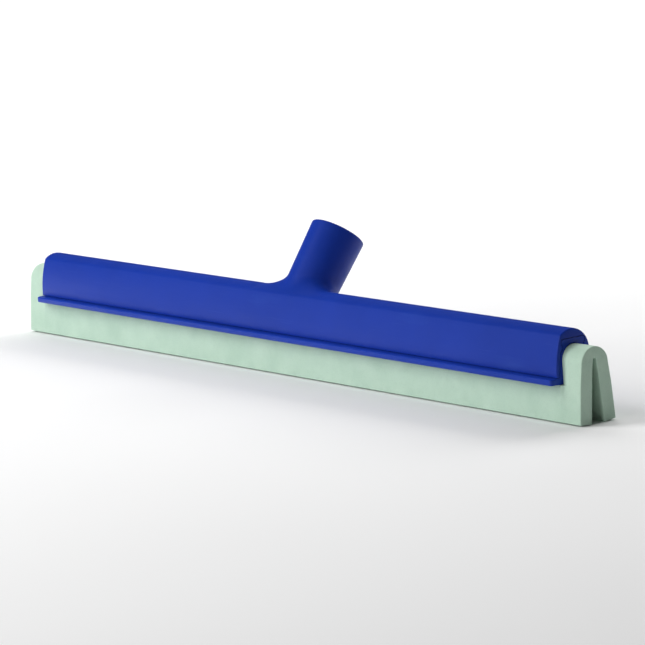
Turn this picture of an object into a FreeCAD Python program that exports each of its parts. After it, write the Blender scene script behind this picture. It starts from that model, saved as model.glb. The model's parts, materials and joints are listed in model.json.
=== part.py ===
import FreeCAD, Part
import math
import os
import Sketcher

V = FreeCAD.Vector

# Driving dimensions, in millimetres and degrees.  Heights are above the floor that the blade stands on,
# and half widths are measured from the blade's middle plane.
DIMENSIONS = {
    # foam blade: a strip folded into an inverted U, free at both ends
    "foam_length": 605.0,
    "foam_foot_half": 14.4,
    "foam_foot_rise": 1.1,
    "foam_leg_half": 11.9,
    "foam_leg_height": 30.0,
    "foam_arch_half": 10.8,
    "foam_arch_height": 37.3,
    "gap_foot_half": 5.2,
    "gap_neck_half": 2.4,
    "gap_neck_height": 32.0,
    "gap_tip_half": 1.2,
    "gap_tip_height": 39.8,
    # foam blade: where the rail grips it
    "grip_waist_half": 12.4,
    "grip_waist_height": 23.9,
    "grip_half": 8.5,
    "grip_arch_height": 39.4,
    "grip_end_gap": 0.3,
    "slit_half": 1.0,
    "slit_foot_height": 29.0,
    "slit_top": 38.8,
    # cassette rail
    "rail_length": 566.4,
    "lip_half": 19.8,
    "lip_flat_half": 18.9,
    "lip_bottom": 24.2,
    "lip_low_bend": 25.1,
    "lip_high_bend": 27.3,
    "lip_top": 28.2,
    "lip_round": 0.9,
    "rail_foot_half": 12.05,
    "rail_side_half": 11.25,
    "rail_side_height": 38.0,
    "rail_shoulder_half": 10.2,
    "rail_shoulder_height": 43.3,
    "rail_neck_half": 8.15,
    "rail_neck_bottom": 45.5,
    "rail_hook_half": 9.35,
    "rail_hook_bottom": 48.0,
    "rail_hook_top": 50.6,
    "rail_cap_half": 8.4,
    "rail_top": 51.5,
    "rail_mouth_half": 9.4,
    "rail_arch_half": 9.0,
    "barb_tip_half": 8.6,
    "barb_low_foot": 26.6,
    "barb_low_tip": 28.6,
    "barb_high_foot": 32.0,
    "barb_high_tip": 34.0,
    # core strip in the fold
    "core_length": 560.0,
    "core_thickness": 1.8,
    "core_bottom": 30.4,
    "core_depth": 8.0,
    # head beam and its channel
    "head_length": 566.4,
    "head_foot_half": 14.6,
    "head_foot": 28.6,
    "head_crease_half": 10.0,
    "head_crease": 54.5,
    "head_shoulder_half": 13.2,
    "head_shoulder": 43.0,
    "head_side_radius": 70.0,
    "head_top_radius": 14.3,
    "head_crease_round": 0.9,
    "head_end_round": 2.0,
    "channel_open": 20.0,
    "channel_foot_half": 12.5,
    "channel_side_half": 11.6,
    "channel_side_height": 38.1,
    "channel_shoulder_half": 10.6,
    "channel_shoulder_height": 43.5,
    "channel_rib_half": 8.5,
    "channel_rib_bottom": 45.8,
    "channel_rib_top": 47.6,
    "channel_hook_half": 9.7,
    "channel_hook_top": 50.9,
    "channel_cap_half": 8.7,
    "channel_top": 51.9,
    # handle socket
    "socket_tilt": 37.4,
    "socket_axis_back": 22.9,
    "socket_axis_height": 65.0,
    "socket_rise": 29.6,
    "socket_drop": 40.0,
    "socket_mouth_radius": 19.0,
    "socket_root_radius": 17.1,
    "socket_bore_radius": 15.6,
    "socket_bore_depth": 45.0,
    "socket_rim_round": 1.2,
    "socket_bore_bevel": 1.0,
    # skirt that blends the socket into the beam
    "skirt_spread": 20.0,
    "skirt_toe": 5.5,
    "skirt_height": 17.0,
    "skirt_floor": 53.0,
    "skirt_foot": 57.0,
    "skirt_back": 10.5,
    # region the socket may fill, behind the front crease and above the beam's foot
    "keep_front_half": 12.0,
    "keep_front_height": 55.2,
    "keep_knee_half": 9.0,
    "keep_knee_height": 52.6,
    "keep_heel_back": 12.6,
    "keep_heel_height": 33.0,
    "keep_chin_back": 27.0,
    "keep_chin_height": 39.0,
    "keep_far": 70.0,
    "keep_top": 120.0,
}
SKIRT_SECTIONS = 8


def make_sheet(doc):
    """One cell per driving dimension, each with its alias."""
    sheet = doc.addObject("Spreadsheet::Sheet", "dims")
    for row, (alias, value) in enumerate(DIMENSIONS.items(), start=1):
        sheet.set("A%d" % row, alias)
        sheet.set("B%d" % row, repr(value))
        sheet.setAlias("B%d" % row, alias)
    doc.recompute()
    return sheet


def origin_plane(body, role):
    """The body's own origin plane with this role."""
    for feature in body.Origin.OriginFeatures:
        if feature.Role == role:
            return feature
    raise RuntimeError("no origin plane " + role)


def cross_section(body, name):
    """An empty sketch across the object: its X is the part's Y, and its Y is the part's Z."""
    sketch = body.newObject("Sketcher::SketchObject", name)
    sketch.AttachmentSupport = [(origin_plane(body, "YZ_Plane"), "")]
    sketch.MapMode = "FlatFace"
    return sketch


def arc_between(start, end, radius, outward):
    """A minor arc from start to end; outward arcs turn anticlockwise.  Half circles are allowed."""
    chord = end - start
    middle = (start + end) * 0.5
    left = V(-chord.y, chord.x, 0)
    left.normalize()
    reach = math.sqrt(max(radius ** 2 - (chord.Length / 2) ** 2, 0.0))
    centre = middle + left * (reach if outward else -reach)
    first, last = (start, end) if outward else (end, start)
    angle_1 = math.atan2(first.y - centre.y, first.x - centre.x)
    angle_2 = math.atan2(last.y - centre.y, last.x - centre.x)
    return Part.ArcOfCircle(Part.Circle(centre, V(0, 0, 1), radius), angle_1, angle_2)


def draw_outline(sketch, sheet, corners, edges):
    """Draws a closed outline and binds every corner to the sheet.

    A corner is (side, half-width alias, height alias): side is +1 behind the blade's plane, -1 in front
    of it, and a height alias of None lies on the floor.  An edge is None for a line, or
    (radius alias, outward) for an arc, and joins its corner to the next one.
    """
    points = []
    for side, half, height in corners:
        across = side * sheet.get(half)
        up = sheet.get(height) if height else 0.0
        points.append(V(across, up, 0))
    ends = []
    for index, edge in enumerate(edges):
        start = points[index]
        end = points[(index + 1) % len(points)]
        if edge is None:
            geometry = sketch.addGeometry(Part.LineSegment(start, end), False)
            ends.append((geometry, 1, 2))
        else:
            radius, outward = edge
            geometry = sketch.addGeometry(arc_between(start, end, sheet.get(radius), outward), False)
            ends.append((geometry, 1, 2) if outward else (geometry, 2, 1))
    for index, (side, half, height) in enumerate(corners):
        geometry, start, _ = ends[index]
        before, _, before_end = ends[index - 1]
        sketch.addConstraint(Sketcher.Constraint("Coincident", before, before_end, geometry, start))
        across = sketch.addConstraint(
            Sketcher.Constraint("DistanceX", -1, 1, geometry, start, points[index].x))
        sign = "-" if side < 0 else ""
        sketch.setExpression("Constraints[%d]" % across, sign + "dims." + half)
        if height:
            up = sketch.addConstraint(
                Sketcher.Constraint("DistanceY", -1, 1, geometry, start, points[index].y))
            sketch.setExpression("Constraints[%d]" % up, "dims." + height)
        else:
            sketch.addConstraint(Sketcher.Constraint("PointOnObject", geometry, start, -1))
    for index, edge in enumerate(edges):
        if edge is not None:
            chord = points[(index + 1) % len(points)] - points[index]
            if abs(chord.Length - 2 * sheet.get(edge[0])) < 1e-6:
                continue
            bend = sketch.addConstraint(
                Sketcher.Constraint("Radius", ends[index][0], sheet.get(edge[0])))
            sketch.setExpression("Constraints[%d]" % bend, "dims." + edge[0])


def both_sides(half_corners, half_edges, top_edge, foot_edge=None):
    """Completes an outline from its back half, listed from the foot to the top."""
    back = [(1, half, height) for half, height in half_corners]
    front = [(-1, half, height) for half, height in reversed(half_corners)]
    edges = list(half_edges) + [top_edge] + list(reversed(half_edges)) + [foot_edge]
    return back + front, edges


def lengthwise_pad(body, sketch, length):
    """Pads a cross-section equally both ways along the blade."""
    pad = body.newObject("PartDesign::Pad", sketch.Name + "_pad")
    pad.Profile = sketch
    pad.Midplane = True
    pad.setExpression("Length", length)
    sketch.Document.recompute()
    return pad


def lengthwise_bar(doc, sheet, name, outline, length):
    """A body that is one cross-section padded both ways along the blade."""
    body = doc.addObject("PartDesign::Body", name)
    sketch = cross_section(body, name + "_section")
    draw_outline(sketch, sheet, *outline)
    lengthwise_pad(body, sketch, length)
    return body


def half_circle(alias):
    """The edge of an arch whose radius is its own half width."""
    return (alias, True)


def make_head_beam(doc, sheet):
    """The arched beam, solid: the channel is cut later, with the socket in place.

    Its front has a crease under the arch, and its back runs round into the arch at the shoulder.
    """
    corners = [
        (1, "head_foot_half", "head_foot"),
        (1, "head_shoulder_half", "head_shoulder"),
        (-1, "head_crease_half", "head_crease"),
        (-1, "head_foot_half", "head_foot"),
    ]
    flank = ("head_side_radius", True)
    outline = (corners, [flank, ("head_top_radius", True), flank, None])
    body = lengthwise_bar(doc, sheet, "head_beam", outline, "dims.head_length")
    soften_crease(body, sheet)
    soften_beam_ends(body)
    return body


def soften_crease(body, sheet):
    """Rounds the crease that runs along the beam's front."""
    beam = body.Tip
    crease = V(0, -sheet.get("head_crease_half"), sheet.get("head_crease"))
    chosen = []
    for number, edge in enumerate(beam.Shape.Edges, start=1):
        if (edge.CenterOfMass - crease).Length < 1e-3:
            chosen.append("Edge%d" % number)
    fillet = body.newObject("PartDesign::Fillet", "beam_crease")
    fillet.Base = (beam, chosen)
    fillet.setExpression("Radius", "dims.head_crease_round")
    body.Document.recompute()


def soften_beam_ends(body):
    """Rounds the arch and the two flanks at both ends of the beam."""
    beam = body.Tip
    end_faces = [face for face in beam.Shape.Faces if abs(face.normalAt(0, 0).x) > 0.99]
    chosen = []
    for number, edge in enumerate(beam.Shape.Edges, start=1):
        on_end = any(edge.isSame(other) for face in end_faces for other in face.Edges)
        curved = edge.Curve.TypeId == "Part::GeomCircle"
        if on_end and curved:
            chosen.append("Edge%d" % number)
    fillet = body.newObject("PartDesign::Fillet", "beam_ends")
    fillet.Base = (beam, chosen)
    fillet.setExpression("Radius", "dims.head_end_round")
    body.Document.recompute()


def make_channel(doc, sheet):
    """The channel that the cassette slides in, with a rib each side that carries the rail's hooks."""
    corners = [
        ("channel_foot_half", "channel_open"),
        ("channel_foot_half", "head_foot"),
        ("channel_side_half", "channel_side_height"),
        ("channel_shoulder_half", "channel_shoulder_height"),
        ("channel_rib_half", "channel_rib_bottom"),
        ("channel_rib_half", "channel_rib_top"),
        ("channel_hook_half", "channel_rib_top"),
        ("channel_hook_half", "channel_hook_top"),
        ("channel_cap_half", "channel_top"),
    ]
    outline = both_sides(corners, [None] * (len(corners) - 1), None)
    return lengthwise_bar(doc, sheet, "head_channel", outline, "dims.head_length + 20")


def make_keep_region(doc, sheet):
    """What the socket may fill: everything behind the front crease and above the beam's foot."""
    corners = [
        (-1, "keep_front_half", "keep_front_height"),
        (-1, "keep_knee_half", "keep_knee_height"),
        (1, "keep_heel_back", "keep_heel_height"),
        (1, "keep_chin_back", "keep_chin_height"),
        (1, "keep_far", "keep_chin_height"),
        (1, "keep_far", "keep_top"),
        (-1, "keep_front_half", "keep_top"),
    ]
    return lengthwise_bar(doc, sheet, "socket_region", (corners, [None] * len(corners)), "160")


def socket_place(sheet, along):
    """Placement on the socket's axis, the given distance up from its datum, Z along the axis."""
    tilt = math.radians(sheet.get("socket_tilt"))
    base = V(0, sheet.get("socket_axis_back"), sheet.get("socket_axis_height"))
    axis = V(0, math.sin(tilt), math.cos(tilt))
    return FreeCAD.Placement(base + axis * along, FreeCAD.Rotation(V(1, 0, 0), -math.degrees(tilt)))


def make_socket_tube(doc, sheet):
    """The socket's outside: a slightly tapered tube with a rounded rim."""
    cone = doc.addObject("Part::Cone", "socket_cone")
    cone.setExpression("Radius1", "dims.socket_root_radius")
    cone.setExpression("Radius2", "dims.socket_mouth_radius")
    cone.setExpression("Height", "dims.socket_rise + dims.socket_drop")
    cone.Placement = socket_place(sheet, -sheet.get("socket_drop"))
    doc.recompute()
    tube = doc.addObject("Part::Fillet", "socket_tube")
    tube.Base = cone
    rim_radius = sheet.get("socket_mouth_radius")
    rim = [number for number, edge in enumerate(cone.Shape.Edges, start=1)
           if hasattr(edge.Curve, "Radius") and abs(edge.Curve.Radius - rim_radius) < 1e-6]
    rounding = sheet.get("socket_rim_round")
    tube.Edges = [(number, rounding, rounding) for number in rim]
    return tube


def make_skirt(doc, sheet):
    """The flare at the socket's root: its level sections, each an ellipse drawn apart along the beam."""
    tilt = math.radians(sheet.get("socket_tilt"))
    radius = sheet.get("socket_root_radius") + 0.2
    height = sheet.get("skirt_height")
    foot = sheet.get("skirt_foot")
    levels = [sheet.get("skirt_floor")]
    levels += [foot + height * step / SKIRT_SECTIONS for step in range(SKIRT_SECTIONS + 1)]
    wires = []
    for level in levels:
        climb = min(max((level - foot) / height, 0.0), 1.0)
        flare = 1 - math.sqrt(1 - (1 - climb) ** 2)
        spread = sheet.get("skirt_spread") * flare + 0.05
        deep = radius / math.cos(tilt) + sheet.get("skirt_toe") * flare
        back = sheet.get("socket_axis_back") + (level - sheet.get("socket_axis_height")) * math.tan(tilt)
        wires.append(drawn_apart_ellipse(back, level, radius, deep, spread))
    skirt = doc.addObject("Part::Feature", "socket_skirt_loft")
    skirt.Shape = Part.makeLoft(wires, True, False)
    return skirt


def drawn_apart_ellipse(back, level, half_long, half_deep, spread):
    """A level ellipse, cut in two across the beam and drawn apart by spread each way."""
    deep = V(0, half_deep, 0)
    edges = []
    for side in (1, -1):
        centre = V(side * spread, back, level)
        tip = centre + V(side * half_long, 0, 0)
        ellipse = Part.Ellipse(centre + deep, tip, centre)
        edges.append(Part.ArcOfEllipse(ellipse, 0, math.pi).toShape())
    right_end = V(spread, back + half_deep, level)
    left_end = V(-spread, back + half_deep, level)
    edges.append(Part.LineSegment(right_end, left_end).toShape())
    right_start = V(spread, back - half_deep, level)
    left_start = V(-spread, back - half_deep, level)
    edges.append(Part.LineSegment(left_start, right_start).toShape())
    return Part.Wire(Part.__sortEdges__(edges))


def make_bore(doc, sheet):
    """The handle bore, blind, with a bevelled mouth."""
    bore = doc.addObject("Part::Cylinder", "socket_bore_wall")
    bore.setExpression("Radius", "dims.socket_bore_radius")
    bore.setExpression("Height", "dims.socket_bore_depth + 1")
    bore.Placement = socket_place(sheet, sheet.get("socket_rise") - sheet.get("socket_bore_depth"))
    bevel = doc.addObject("Part::Cone", "socket_bore_mouth")
    bevel.setExpression("Radius1", "dims.socket_bore_radius")
    bevel.setExpression("Radius2", "dims.socket_bore_radius + 2 * dims.socket_bore_bevel")
    bevel.setExpression("Height", "2 * dims.socket_bore_bevel")
    bevel.Placement = socket_place(sheet, sheet.get("socket_rise") - sheet.get("socket_bore_bevel"))
    tool = doc.addObject("Part::MultiFuse", "socket_bore")
    tool.Shapes = [bore, bevel]
    return tool


def make_skirt_limit(doc, sheet):
    """A block that keeps the skirt flush with the beam's back."""
    block = doc.addObject("Part::Box", "skirt_limit")
    block.Length = 160
    block.setExpression("Width", "dims.skirt_back + dims.keep_front_half")
    block.setExpression("Height", "dims.keep_top")
    block.Placement = FreeCAD.Placement(V(-80, -sheet.get("keep_front_half"), 0), FreeCAD.Rotation())
    return block


def make_head(doc, sheet):
    """Beam, socket and skirt as one moulding, with the channel and the bore cut out of it."""
    beam = make_head_beam(doc, sheet)
    region = make_keep_region(doc, sheet)
    skirt = doc.addObject("Part::MultiCommon", "socket_skirt")
    skirt.Shapes = [make_skirt(doc, sheet), make_skirt_limit(doc, sheet)]
    flared = doc.addObject("Part::MultiFuse", "socket_flared")
    flared.Shapes = [make_socket_tube(doc, sheet), skirt]
    trimmed = doc.addObject("Part::MultiCommon", "socket_trimmed")
    trimmed.Shapes = [flared, region]
    solid = doc.addObject("Part::MultiFuse", "head_solid")
    solid.Shapes = [beam, trimmed]
    hollow = doc.addObject("Part::MultiFuse", "head_hollows")
    hollow.Shapes = [make_channel(doc, sheet), make_bore(doc, sheet)]
    head = doc.addObject("Part::Cut", "head")
    head.Base = solid
    head.Tool = hollow
    doc.recompute()
    return head


def make_cassette_rail(doc, sheet):
    """A U-rail: hooks at the top, lips at the foot, and barbs inside that bite the foam."""
    outside = [
        ("lip_flat_half", "lip_bottom"),
        ("lip_half", "lip_low_bend"),
        ("lip_half", "lip_high_bend"),
        ("lip_flat_half", "lip_top"),
        ("rail_foot_half", "lip_top"),
        ("rail_side_half", "rail_side_height"),
        ("rail_shoulder_half", "rail_shoulder_height"),
        ("rail_neck_half", "rail_neck_bottom"),
        ("rail_neck_half", "rail_hook_bottom"),
        ("rail_hook_half", "rail_hook_bottom"),
        ("rail_hook_half", "rail_hook_top"),
        ("rail_cap_half", "rail_top"),
    ]
    bend = ("lip_round", True)
    outline = both_sides(outside, [bend, None, bend] + [None] * (len(outside) - 4), None)
    body = lengthwise_bar(doc, sheet, "cassette_rail", outline, "dims.rail_length")
    inside = [
        ("rail_mouth_half", "channel_open"),
        ("rail_mouth_half", "barb_low_foot"),
        ("barb_tip_half", "barb_low_tip"),
        ("rail_mouth_half", "barb_low_tip"),
        ("rail_mouth_half", "barb_high_foot"),
        ("barb_tip_half", "barb_high_tip"),
        ("rail_arch_half", "barb_high_tip"),
        ("rail_arch_half", "grip_arch_height"),
    ]
    sketch = cross_section(body, "rail_hollow_section")
    draw_outline(sketch, sheet, *both_sides(inside, [None] * (len(inside) - 1),
                                            half_circle("rail_arch_half")))
    before = body.Shape.Volume
    pocket = body.newObject("PartDesign::Pocket", "rail_hollow")
    pocket.Profile = sketch
    pocket.Midplane = True
    pocket.setExpression("Length", "dims.rail_length + 2")
    doc.recompute()
    if body.Shape.Volume > 0.9 * before:
        raise RuntimeError("the rail's hollow cut nothing")
    return body


def make_foam_blade(doc, sheet):
    """The folded strip: narrow where the rail grips it, sprung open to its free shape at both ends."""
    grip = [
        ("gap_foot_half", None),
        ("foam_foot_half", "foam_foot_rise"),
        ("grip_waist_half", "grip_waist_height"),
        ("grip_half", "grip_waist_height"),
        ("grip_half", "grip_arch_height"),
    ]
    slit = [("gap_foot_half", None), ("slit_half", "slit_foot_height"), ("slit_half", "slit_top")]
    body = doc.addObject("PartDesign::Body", "foam_blade")
    held = cross_section(body, "foam_held_section")
    draw_outline(held, sheet, *folded_outline(grip, half_circle("grip_half"), slit, None))
    lengthwise_pad(body, held, "dims.rail_length + 2 * dims.grip_end_gap")
    free = [
        ("gap_foot_half", None),
        ("foam_foot_half", "foam_foot_rise"),
        ("foam_leg_half", "foam_leg_height"),
        ("foam_arch_half", "foam_arch_height"),
    ]
    gap = [("gap_foot_half", None), ("gap_neck_half", "gap_neck_height"),
           ("gap_tip_half", "gap_tip_height")]
    end = cross_section(body, "foam_free_section")
    draw_outline(end, sheet, *folded_outline(free, half_circle("foam_arch_half"), gap,
                                             ("gap_tip_half", False)))
    end.setExpression("AttachmentOffset.Base.z", "dims.rail_length / 2 + dims.grip_end_gap")
    doc.recompute()
    pad = body.newObject("PartDesign::Pad", "foam_free_end")
    pad.Profile = end
    pad.setExpression("Length", "(dims.foam_length - dims.rail_length) / 2 - dims.grip_end_gap")
    doc.recompute()
    mirror = body.newObject("PartDesign::Mirrored", "foam_other_end")
    mirror.Originals = [pad]
    mirror.MirrorPlane = (origin_plane(body, "YZ_Plane"), [""])
    body.Tip = mirror
    doc.recompute()
    return body


def folded_outline(outer, arch, inner, tip):
    """A folded strip's outline: up one side, over the arch, down the other, and back through the gap."""
    corners, edges = both_sides(outer, [None] * (len(outer) - 1), arch)
    # the foot edge now leads into the gap, whose own corners follow from the front side to the back
    front = [(-1, half, height) for half, height in inner[1:]]
    back = [(1, half, height) for half, height in reversed(inner[1:])]
    gap_edges = [None] * (len(front) - 1) + [tip] + [None] * len(back)
    return corners + front + back, edges + gap_edges


def make_core_strip(doc, sheet):
    """The flat strip that wedges the fold open inside the rail."""
    strip = doc.addObject("Part::Box", "core_strip")
    strip.setExpression("Length", "dims.core_length")
    strip.setExpression("Width", "dims.core_thickness")
    strip.setExpression("Height", "dims.core_depth")
    corner = V(-sheet.get("core_length") / 2, -sheet.get("core_thickness") / 2, sheet.get("core_bottom"))
    strip.Placement = FreeCAD.Placement(corner, FreeCAD.Rotation())
    return strip


def centre_on_origin(doc, parts):
    """Moves the sub-parts together so that the origin is under the middle of the whole object."""
    box = FreeCAD.BoundBox()
    for part in parts:
        box.add(part.Shape.optimalBoundingBox(False, False))
    shift = V(-box.Center.x, -box.Center.y, -box.ZMin)
    for part in parts:
        place = part.Placement
        place.Base = place.Base + shift
        part.Placement = place
    doc.recompute()
    return shift


def check_document(doc, parts):
    """Stops if a feature failed or a sub-part isn't one or more valid solids."""
    for item in doc.Objects:
        if "Invalid" in item.State or "Error" in item.State:
            raise RuntimeError("%s failed: %s" % (item.Name, item.State))
    for part in parts:
        if part.Shape.isNull() or not part.Shape.isValid() or not part.Shape.Solids:
            raise RuntimeError("%s has no valid shape" % part.Label)


def main():
    doc = FreeCAD.newDocument("squeegee_head")
    sheet = make_sheet(doc)
    makers = {
        "head": make_head,
        "cassette_rail": make_cassette_rail,
        "foam_blade": make_foam_blade,
        "core_strip": make_core_strip,
    }
    parts = []
    for label, maker in makers.items():
        part = maker(doc, sheet)
        part.Label = label
        parts.append(part)
    doc.recompute()
    shift = centre_on_origin(doc, parts)
    check_document(doc, parts)
    os.makedirs("parts", exist_ok=True)
    for part in parts:
        part.Shape.exportStep("parts/%s.step" % part.Label)
        box = part.Shape.optimalBoundingBox(False, False)
        print("%-14s solids %d  volume %.0f mm3  X %.2f..%.2f  Y %.2f..%.2f  Z %.2f..%.2f" % (
            part.Label, len(part.Shape.Solids), part.Shape.Volume,
            box.XMin, box.XMax, box.YMin, box.YMax, box.ZMin, box.ZMax))
    print("shift to the origin: %.4f %.4f %.4f" % (shift.x, shift.y, shift.z))


main()
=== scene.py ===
"""Floor squeegee head: a moulded beam with a handle socket, and a slide-in cassette with a foam blade."""
import json
import logging
import math
from collections.abc import Callable
from dataclasses import dataclass, field
from enum import Enum

import bmesh
import bpy
from mathutils import Matrix, Vector

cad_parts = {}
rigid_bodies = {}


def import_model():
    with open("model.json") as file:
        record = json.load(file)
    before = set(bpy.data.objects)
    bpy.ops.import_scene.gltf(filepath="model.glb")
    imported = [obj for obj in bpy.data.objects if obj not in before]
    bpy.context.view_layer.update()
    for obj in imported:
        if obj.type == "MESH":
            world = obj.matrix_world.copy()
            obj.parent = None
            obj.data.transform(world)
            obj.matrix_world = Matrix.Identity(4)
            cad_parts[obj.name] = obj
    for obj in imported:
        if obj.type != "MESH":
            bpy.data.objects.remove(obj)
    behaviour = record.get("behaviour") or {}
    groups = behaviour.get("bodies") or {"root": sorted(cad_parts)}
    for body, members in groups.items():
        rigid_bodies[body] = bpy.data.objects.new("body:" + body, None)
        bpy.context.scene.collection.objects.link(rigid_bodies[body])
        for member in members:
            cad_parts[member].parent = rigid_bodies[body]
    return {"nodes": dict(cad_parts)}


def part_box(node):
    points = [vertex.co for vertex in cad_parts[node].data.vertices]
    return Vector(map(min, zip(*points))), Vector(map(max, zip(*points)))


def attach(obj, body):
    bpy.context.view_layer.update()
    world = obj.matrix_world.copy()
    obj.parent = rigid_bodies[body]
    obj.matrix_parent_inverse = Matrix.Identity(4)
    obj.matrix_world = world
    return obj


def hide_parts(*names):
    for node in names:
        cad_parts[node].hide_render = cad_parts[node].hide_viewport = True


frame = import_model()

log = logging.getLogger("squeegee")
MM = 0.001
Colour = tuple[float, float, float]
Point = tuple[float, float]
EdgeTest = Callable[[Vector, Vector], bool]
PlaceTest = Callable[[Vector], bool]


class Body(Enum):
    """The two rigid bodies that the pieces ride on."""

    HEAD = "head"
    CASSETTE = "cassette"


class Slot(Enum):
    """The record's material slot names; the new pieces are given their materials directly."""

    HEAD = "head_plastic"
    RAIL = "rail_plastic"
    FOAM = "foam"


# ---------------------------------------------------------------- finishes


class NodeTree:
    """Builds a material's node tree with short calls."""

    def __init__(self, name: str) -> None:
        """Starts an empty material.

        Args:
            name: The material's name.
        """
        self.material = bpy.data.materials.new(name)
        self.material.use_nodes = True
        self.nodes = self.material.node_tree.nodes
        self.links = self.material.node_tree.links
        self.nodes.clear()
        self.output = self.nodes.new("ShaderNodeOutputMaterial")
        self.shader = self.nodes.new("ShaderNodeBsdfPrincipled")
        self.link(self.shader.outputs["BSDF"], self.output.inputs["Surface"])
        self.place = self.nodes.new("ShaderNodeTexCoord").outputs["Object"]

    def link(self, source: bpy.types.NodeSocket, target: bpy.types.NodeSocket) -> None:
        """Joins an output socket to an input socket."""
        self.links.new(source, target)

    def stretched(self, scale: tuple[float, float, float]) -> bpy.types.NodeSocket:
        """Object coordinates scaled per axis.

        Args:
            scale: Factors along X, Y and Z.

        Returns:
            The scaled coordinate socket.
        """
        mapping = self.nodes.new("ShaderNodeMapping")
        mapping.inputs["Scale"].default_value = scale
        self.link(self.place, mapping.inputs["Vector"])
        return mapping.outputs["Vector"]

    def noise(self, size: float, detail: float = 2.0, rough: float = 0.5,
              place: bpy.types.NodeSocket | None = None) -> bpy.types.NodeSocket:
        """Noise whose features are about size metres across.

        Args:
            size: Feature size in metres.
            detail: Octaves of finer detail.
            rough: Strength of the finer octaves.
            place: Coordinates to read, or None for object coordinates.

        Returns:
            The noise value socket.
        """
        node = self.nodes.new("ShaderNodeTexNoise")
        node.inputs["Scale"].default_value = 1.0 / size
        node.inputs["Detail"].default_value = detail
        node.inputs["Roughness"].default_value = rough
        self.link(place or self.place, node.inputs["Vector"])
        return node.outputs["Fac"]

    def ramp(self, value: bpy.types.NodeSocket, low: float, high: float,
             start: float, end: float) -> bpy.types.NodeSocket:
        """Maps a value from low..high onto start..end, clamped.

        Args:
            value: The socket to map.
            low: Input value that gives start.
            high: Input value that gives end.
            start: Output at low.
            end: Output at high.

        Returns:
            The mapped value socket.
        """
        node = self.nodes.new("ShaderNodeMapRange")
        node.inputs["From Min"].default_value = low
        node.inputs["From Max"].default_value = high
        node.inputs["To Min"].default_value = start
        node.inputs["To Max"].default_value = end
        self.link(value, node.inputs["Value"])
        return node.outputs["Result"]

    def mix_colour(self, factor: bpy.types.NodeSocket, first: Colour | bpy.types.NodeSocket,
                   second: Colour | bpy.types.NodeSocket) -> bpy.types.NodeSocket:
        """Mixes two colours by a factor socket.

        Args:
            factor: 0 gives the first colour and 1 the second.
            first: The first colour, or a socket.
            second: The second colour, or a socket.

        Returns:
            The mixed colour socket.
        """
        node = self.nodes.new("ShaderNodeMix")
        node.data_type = "RGBA"
        self.link(factor, node.inputs["Factor"])
        for key, colour in (("A", first), ("B", second)):
            target = next(s for s in node.inputs if s.name == key and s.type == "RGBA")
            if isinstance(colour, bpy.types.NodeSocket):
                self.link(colour, target)
            else:
                target.default_value = (*colour, 1.0)
        return next(s for s in node.outputs if s.type == "RGBA")

    def bump(self, height: bpy.types.NodeSocket, depth: float, strength: float,
             below: bpy.types.NodeSocket | None = None) -> bpy.types.NodeSocket:
        """Adds bump.

        Args:
            height: Height from 0 to 1.
            depth: Height of 1, in metres.
            strength: Share of the bump that shows.
            below: Normal that the bump sits on, or None.

        Returns:
            The normal socket.
        """
        node = self.nodes.new("ShaderNodeBump")
        node.inputs["Distance"].default_value = depth
        node.inputs["Strength"].default_value = strength
        self.link(height, node.inputs["Height"])
        if below is not None:
            self.link(below, node.inputs["Normal"])
        return node.outputs["Normal"]


@dataclass(frozen=True)
class MouldedPlastic:
    """Satin polypropylene: even colour with slight cloud, fine spark texture and faint handling wear."""

    name: str
    colour: Colour
    worn: Colour
    roughness: float = 0.42
    grain: float = 0.00035
    cloud_size: float = 0.06
    flow_size: float = 0.012
    scratch_size: float = 0.0007
    swell_size: float = 0.02
    grain_depth: float = 0.00004
    swell_depth: float = 0.0002

    def build(self) -> bpy.types.Material:
        """Makes the material.

        Returns:
            The material.
        """
        tree = NodeTree(self.name)
        cloud = tree.noise(self.cloud_size, 3.0, 0.55)
        flow = tree.noise(self.flow_size, 4.0, 0.6, tree.stretched((0.18, 1.0, 1.0)))
        shade = tree.ramp(cloud, 0.3, 0.7, 0.0, 1.0)
        dark = tuple(channel * 0.93 for channel in self.colour)
        light = tuple(min(1.0, channel * 1.06) for channel in self.colour)
        base = tree.mix_colour(shade, dark, light)
        scuff = tree.ramp(flow, 0.62, 0.80, 0.0, 0.35)
        scuffed = tree.mix_colour(scuff, base, self.worn)
        hair = tree.noise(self.scratch_size, 1.0, 0.5, tree.stretched((0.025, 1.0, 1.0)))
        scratch = tree.ramp(hair, 0.70, 0.78, 0.0, 0.30)
        tree.link(tree.mix_colour(scratch, scuffed, self.worn), tree.shader.inputs["Base Color"])
        gloss = tree.ramp(flow, 0.3, 0.7, self.roughness - 0.05, self.roughness + 0.08)
        tree.link(gloss, tree.shader.inputs["Roughness"])
        sparks = tree.noise(self.grain, 2.0, 0.6)
        swell = tree.noise(self.swell_size, 1.0, 0.4)
        fine = tree.bump(sparks, self.grain_depth, 0.75)
        tree.link(tree.bump(swell, self.swell_depth, 0.25, fine), tree.shader.inputs["Normal"])
        tree.shader.inputs["IOR"].default_value = 1.49
        tree.shader.inputs["Specular IOR Level"].default_value = 0.22
        return tree.material


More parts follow.
